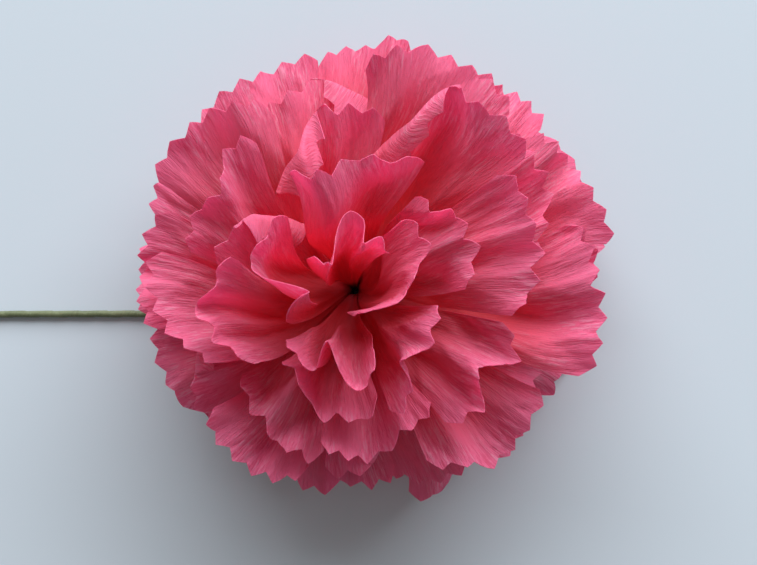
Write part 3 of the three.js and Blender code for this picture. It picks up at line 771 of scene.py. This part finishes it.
def colour_property(name, description, default):
    """A linear colour that a user would change."""
    return bpy.props.FloatVectorProperty(name=name, description=description, default=default,
                                         subtype="COLOR", size=3, min=0, max=1)


def length_property(name, description, default):
    """A length in metres that a user would change."""
    return bpy.props.FloatProperty(name=name, description=description, default=default, min=0,
                                   unit="LENGTH", precision=5)


class PaperSettings(bpy.types.PropertyGroup):
    """Sizes and colours of the petals."""
    paper: length_property("Paper", "Thickness of the crepe paper", 0.00016)
    crinkle: length_property("Crinkle", "Depth of the crepe's crinkles at a petal's tip", 0.00019)
    crumple: length_property("Crumple", "Depth of the broad creases at a petal's tip", 0.0015)
    # The paler tip colour is a painted highlight, and the deeper claw colour is painted shade deep in
    # the bloom.
    tip_colour: colour_property("Tip", "Colour of the paper at a petal's tip", (0.94, 0.255, 0.475))
    claw_colour: colour_property("Claw", "Colour of the paper towards the claw", (0.91, 0.12, 0.175))
    # The ridge colour is a painted highlight on the crepe's ridges, and the furrow colour is painted
    # shade in its furrows.
    ridge_highlight_colour: colour_property("Ridges", "Colour on the crepe's worn ridges", (0.95, 0.58, 0.74))
    furrow_shade_colour: colour_property("Furrows", "Colour in the crepe's furrows", (0.76, 0.10, 0.22))
    glow_colour: colour_property("Glow", "Tint of the light that comes through", (1.0, 0.9, 0.92))
    glow: bpy.props.FloatProperty(
        name="Glow share", description="Share of light that comes through", subtype="FACTOR",
        default=0.6, min=0, max=1)


class StemSettings(bpy.types.PropertyGroup):
    """Sizes and colours of the stem's tape, wire and thread."""
    wrap_pitch: length_property("Wrap pitch", "Length of stem in each turn of the tape", 0.007)
    lap: length_property("Lap", "Step at the tape's lapped edge", 0.00014)
    tape_colour: colour_property("Tape", "Colour of the tape", (0.135, 0.165, 0.085))
    tape_dark: colour_property("Tape lines", "Colour in the tape's lines", (0.075, 0.10, 0.043))
    tape_pale: colour_property("Tape wax", "Colour where the wax has rubbed", (0.20, 0.23, 0.135))
    wire_colour: colour_property("Wire", "Colour of the wire's lacquer", (0.030, 0.042, 0.020))
    wire_dark: colour_property("Streaks", "Colour in the lacquer's streaks", (0.018, 0.026, 0.012))
    thread_colour: colour_property("Thread", "Colour of the thread", (0.10, 0.13, 0.055))
    thread_dark: colour_property("Plies", "Colour between the thread's plies", (0.05, 0.07, 0.03))


class StageSettings(bpy.types.PropertyGroup):
    """The floor, the light and the camera."""
    floor_colour: colour_property("Floor", "Colour of the floor", (0.475, 0.55, 0.625))
    floor_size: length_property("Floor size", "Side of the floor", 3.0)
    window_power: bpy.props.FloatProperty(
        name="Window", description="Power of the soft window light", subtype="POWER",
        default=103.0, min=0)
    window_width: length_property("Window width", "Width of the window light", 3.6)
    window_height: length_property("Window height", "Height of the window light", 1.5)
    sky: bpy.props.FloatProperty(
        name="Sky", description="Strength of the light from all round", default=0.29, min=0)
    camera_distance: length_property("Camera distance", "From the floor to the camera", 0.300)
    camera_target: bpy.props.FloatVectorProperty(
        name="Camera target", description="The point on the floor that the camera faces",
        subtype="TRANSLATION", size=3, default=(0.0695, -0.0015, 0.0))


def add_floor(settings):
    """A flat square floor that the flower lies on."""
    half = settings.floor_size / 2
    corners = [(-half, -half, 0), (half, -half, 0), (half, half, 0), (-half, half, 0)]
    mesh = bpy.data.meshes.new("pale_floor")
    mesh.from_pydata(corners, [], [(0, 1, 2, 3)])
    mesh.materials.append(floor_finish(settings))
    return add_object("pale_floor", mesh)


def add_light(settings, scene):
    """A broad window light that faces the bloom, and a sky of one colour."""
    foot = foot_of_bloom()
    centre = Vector((foot[0], foot[1], BLOOM_MIDDLE))
    light = bpy.data.lights.new("window", "AREA")
    light.shape = "RECTANGLE"
    light.size = settings.window_width
    light.size_y = settings.window_height
    light.energy = settings.window_power
    window = add_object("window", light)
    window.location = centre + Vector(WINDOW_OFFSET)
    window.rotation_euler = (centre - window.location).to_track_quat("-Z", "Y").to_euler()
    world = bpy.data.worlds.new("soft_sky")
    world.use_nodes = True
    background = world.node_tree.nodes["Background"]
    background.inputs["Color"].default_value = opaque(SKY_COLOUR)
    background.inputs["Strength"].default_value = settings.sky
    scene.world = world


def add_camera(settings, scene):
    """A camera over the bloom, tilted a little off straight down, with +Y up in its picture."""
    lens = bpy.data.cameras.new("camera")
    lens.lens = LENS
    lens.sensor_width = SENSOR_WIDTH
    camera = add_object("camera", lens)
    side = math.sin(math.radians(CAMERA_SIDE))
    tilt = math.sin(math.radians(CAMERA_TILT))
    back = Vector((side, -tilt, 1)).normalized()
    camera.location = Vector(settings.camera_target) + back * settings.camera_distance
    right = Vector((0, 1, 0)).cross(back).normalized()
    up = back.cross(right)
    camera.rotation_euler = Matrix((right, up, back)).transposed().to_euler()
    scene.camera = camera


class FLOWER_OT_petals(bpy.types.Operator):
    """Builds every ring of crepe paper petals"""
    bl_idname = "flower.petals"
    bl_label = "Crepe Paper Petals"

    def execute(self, context):
        settings = context.scene.flower_paper
        material = crepe_finish(settings)
        for ring, count in enumerate(PETALS_IN_RINGS):
            for index in range(count):
                petal = Petal(ring, index)
                piece = petal_piece(petal, settings, material)
                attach(piece, "root")
                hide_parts(petal.node)
        return {"FINISHED"}


class FLOWER_OT_tape(bpy.types.Operator):
    """Winds the floral tape round the binding and the wire"""
    bl_idname = "flower.tape"
    bl_label = "Floral Tape"

    def execute(self, context):
        settings = context.scene.flower_stem
        piece = tape_piece(settings, tape_finish(settings))
        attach(piece, "root")
        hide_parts("floral_tape")
        return {"FINISHED"}


class FLOWER_OT_wire_and_thread(bpy.types.Operator):
    """Finishes the stem wire and the binding thread, which keep their solids' shapes"""
    bl_idname = "flower.wire_and_thread"
    bl_label = "Wire and Thread"

    def execute(self, context):
        settings = context.scene.flower_stem
        finishes = {"stem_wire": wire_finish(settings), "binding_thread": thread_finish(settings)}
        for node, material in finishes.items():
            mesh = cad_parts[node].data
            mesh.materials.clear()
            mesh.materials.append(material)
        return {"FINISHED"}


class FLOWER_OT_stage(bpy.types.Operator):
    """Sets the pale floor, the soft window light and the camera"""
    bl_idname = "flower.stage"
    bl_label = "Stage"

    def execute(self, context):
        settings = context.scene.flower_stage
        floor = add_floor(settings)
        add_light(settings, context.scene)
        add_camera(settings, context.scene)
        context.scene.view_settings.view_transform = "Standard"
        return {"FINISHED"}


class FLOWER_PT_panel(bpy.types.Panel):
    """Lists the flower's settings and its builders"""
    bl_idname = "FLOWER_PT_panel"
    bl_label = "Crepe Paper Carnation"
    bl_space_type = "VIEW_3D"
    bl_region_type = "UI"
    bl_category = "Paper Flower"

    def draw(self, context):
        scene = context.scene
        for group in (scene.flower_paper, scene.flower_stem, scene.flower_stage):
            box = self.layout.box()
            for name in group.__annotations__:
                box.prop(group, name)
        for operator in OPERATORS:
            self.layout.operator(operator.bl_idname)


OPERATORS = (FLOWER_OT_stage, FLOWER_OT_petals, FLOWER_OT_tape, FLOWER_OT_wire_and_thread)
GROUPS = {"flower_paper": PaperSettings, "flower_stem": StemSettings, "flower_stage": StageSettings}


def register():
    """Registers the settings, the builders and the panel."""
    for name, group in GROUPS.items():
        bpy.utils.register_class(group)
        setattr(bpy.types.Scene, name, bpy.props.PointerProperty(type=group))
    for operator in OPERATORS:
        bpy.utils.register_class(operator)
    bpy.utils.register_class(FLOWER_PT_panel)


def unregister():
    """Takes back what register added."""
    bpy.utils.unregister_class(FLOWER_PT_panel)
    for operator in reversed(OPERATORS):
        bpy.utils.unregister_class(operator)
    for name, group in GROUPS.items():
        delattr(bpy.types.Scene, name)
        bpy.utils.unregister_class(group)


def main():
    """Builds the stage and every piece."""
    register()
    bpy.ops.flower.stage()
    bpy.ops.flower.petals()
    bpy.ops.flower.tape()
    bpy.ops.flower.wire_and_thread()


if __name__ == "__main__":
    main()
